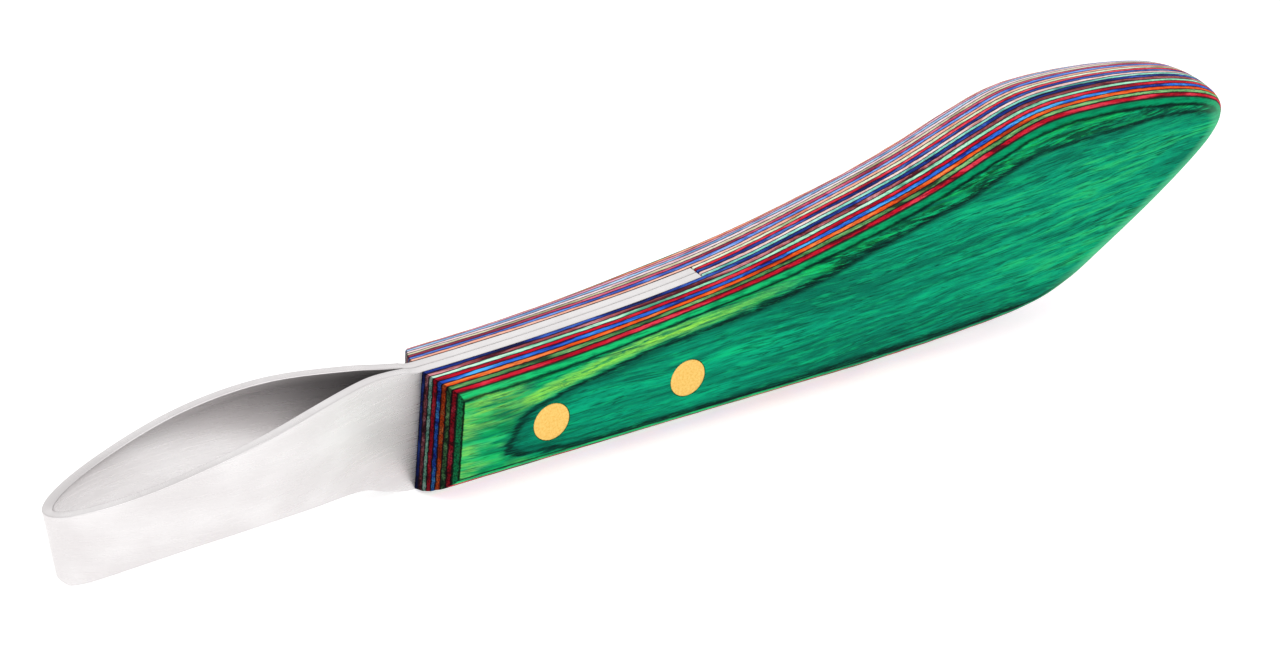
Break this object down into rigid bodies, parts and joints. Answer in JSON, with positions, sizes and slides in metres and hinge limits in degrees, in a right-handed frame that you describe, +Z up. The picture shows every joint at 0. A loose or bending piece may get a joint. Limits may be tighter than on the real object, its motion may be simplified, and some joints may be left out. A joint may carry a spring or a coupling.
{
  "type": "hoof_knife",
  "caption": "Loop hoof knife: a leaf-shaped loop of folded steel strip with a double tang, pinned with brass into a curved handle of glued, dyed wood veneers",
  "frame": {"origin": "the centre of the whole knife in plan, on the surface that its lower edge stands on", "axes": "+X from the cutting loop to the handle's butt, +Y across the veneers, +Z up from the lower edge"},
  "size_m": [0.214, 0.0168, 0.0404],
  "materials": {
    "satin_steel": "satin, finely brushed",
    "brass": "sanded flush with the wood",
    "green_veneer": "dyed, oiled, satin",
    "red_veneer": "dyed, oiled, satin",
    "olive_veneer": "dyed, oiled, satin",
    "orange_veneer": "dyed, oiled, satin",
    "blue_veneer": "dyed, oiled, satin",
    "scarlet_veneer": "dyed, oiled, satin",
    "mint_veneer": "dyed, oiled, satin",
    "brown_veneer": "dyed, oiled, satin",
    "navy_veneer": "dyed, oiled, satin",
    "turquoise_veneer": "dyed, oiled, satin",
    "shell_veneer": "dyed, oiled, satin",
    "indigo_veneer": "dyed, oiled, satin",
    "crimson_veneer": "dyed, oiled, satin",
    "cream_veneer": "dyed, oiled, satin",
    "peach_veneer": "dyed, oiled, satin",
    "cornflower_veneer": "dyed, oiled, satin",
    "wine_veneer": "dyed, oiled, satin",
    "khaki_veneer": "dyed, oiled, satin",
    "blush_veneer": "dyed, oiled, satin",
    "sky_veneer": "dyed, oiled, satin",
    "pink_veneer": "dyed, oiled, satin"
  },
  "bodies": {
    "root": {"loop_blade": "satin_steel", "brass_pin_front": "brass", "brass_pin_rear": "brass", "veneer_01_green": "green_veneer", "veneer_02_red": "red_veneer", "veneer_03_olive": "olive_veneer", "veneer_04_orange": "orange_veneer", "veneer_05_blue": "blue_veneer", "veneer_06_scarlet": "scarlet_veneer", "veneer_07_mint": "mint_veneer", "veneer_08_brown": "brown_veneer", "veneer_09_navy": "navy_veneer", "veneer_10_turquoise": "turquoise_veneer", "veneer_11_shell": "shell_veneer", "veneer_12_indigo": "indigo_veneer", "veneer_13_crimson": "crimson_veneer", "veneer_14_cream": "cream_veneer", "veneer_15_peach": "peach_veneer", "veneer_16_cornflower": "cornflower_veneer", "veneer_17_wine": "wine_veneer", "veneer_18_khaki": "khaki_veneer", "veneer_19_blush": "blush_veneer", "veneer_20_sky": "sky_veneer", "veneer_21_pink": "pink_veneer", "veneer_22_orange": "orange_veneer", "veneer_23_green": "green_veneer"}
  },
  "joints": []
}
